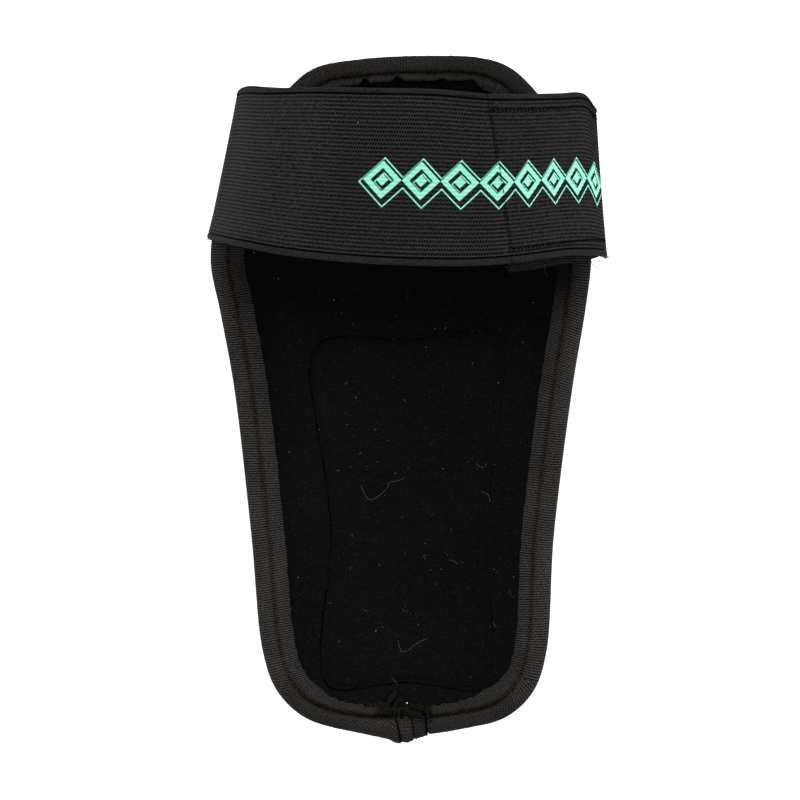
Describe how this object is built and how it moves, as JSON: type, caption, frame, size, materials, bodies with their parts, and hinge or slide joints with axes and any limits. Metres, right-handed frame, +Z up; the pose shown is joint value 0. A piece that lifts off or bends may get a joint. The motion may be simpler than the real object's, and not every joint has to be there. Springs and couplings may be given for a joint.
{
  "type": "knee guard",
  "caption": "Tapered padded knee guard with bound edges, a brushed lining and one wide elastic strap arched over its broad end.",
  "frame": {"origin": "centre of the guard's bounding box, on the surface that the front of its pad lies on", "axes": "+X across the guard to the side of the hook patch, +Y along it from the narrow toe to the broad crown with the strap, +Z up out of the hollow, to the leg"},
  "size_m": [0.1434, 0.2483, 0.0953],
  "materials": {
    "cover": "matte black knit over foam",
    "lining": "black brushed knit",
    "binding": "charcoal ribbed elastic tape",
    "elastic": "charcoal ribbed elastic webbing with a pale green print",
    "hook_tape": "black woven hook tape"
  },
  "bodies": {
    "root": {"pad": "cover", "lining": "lining", "binding": "binding", "binding_join": "binding", "strap": "elastic", "hook_patch": "hook_tape"}
  },
  "joints": []
}
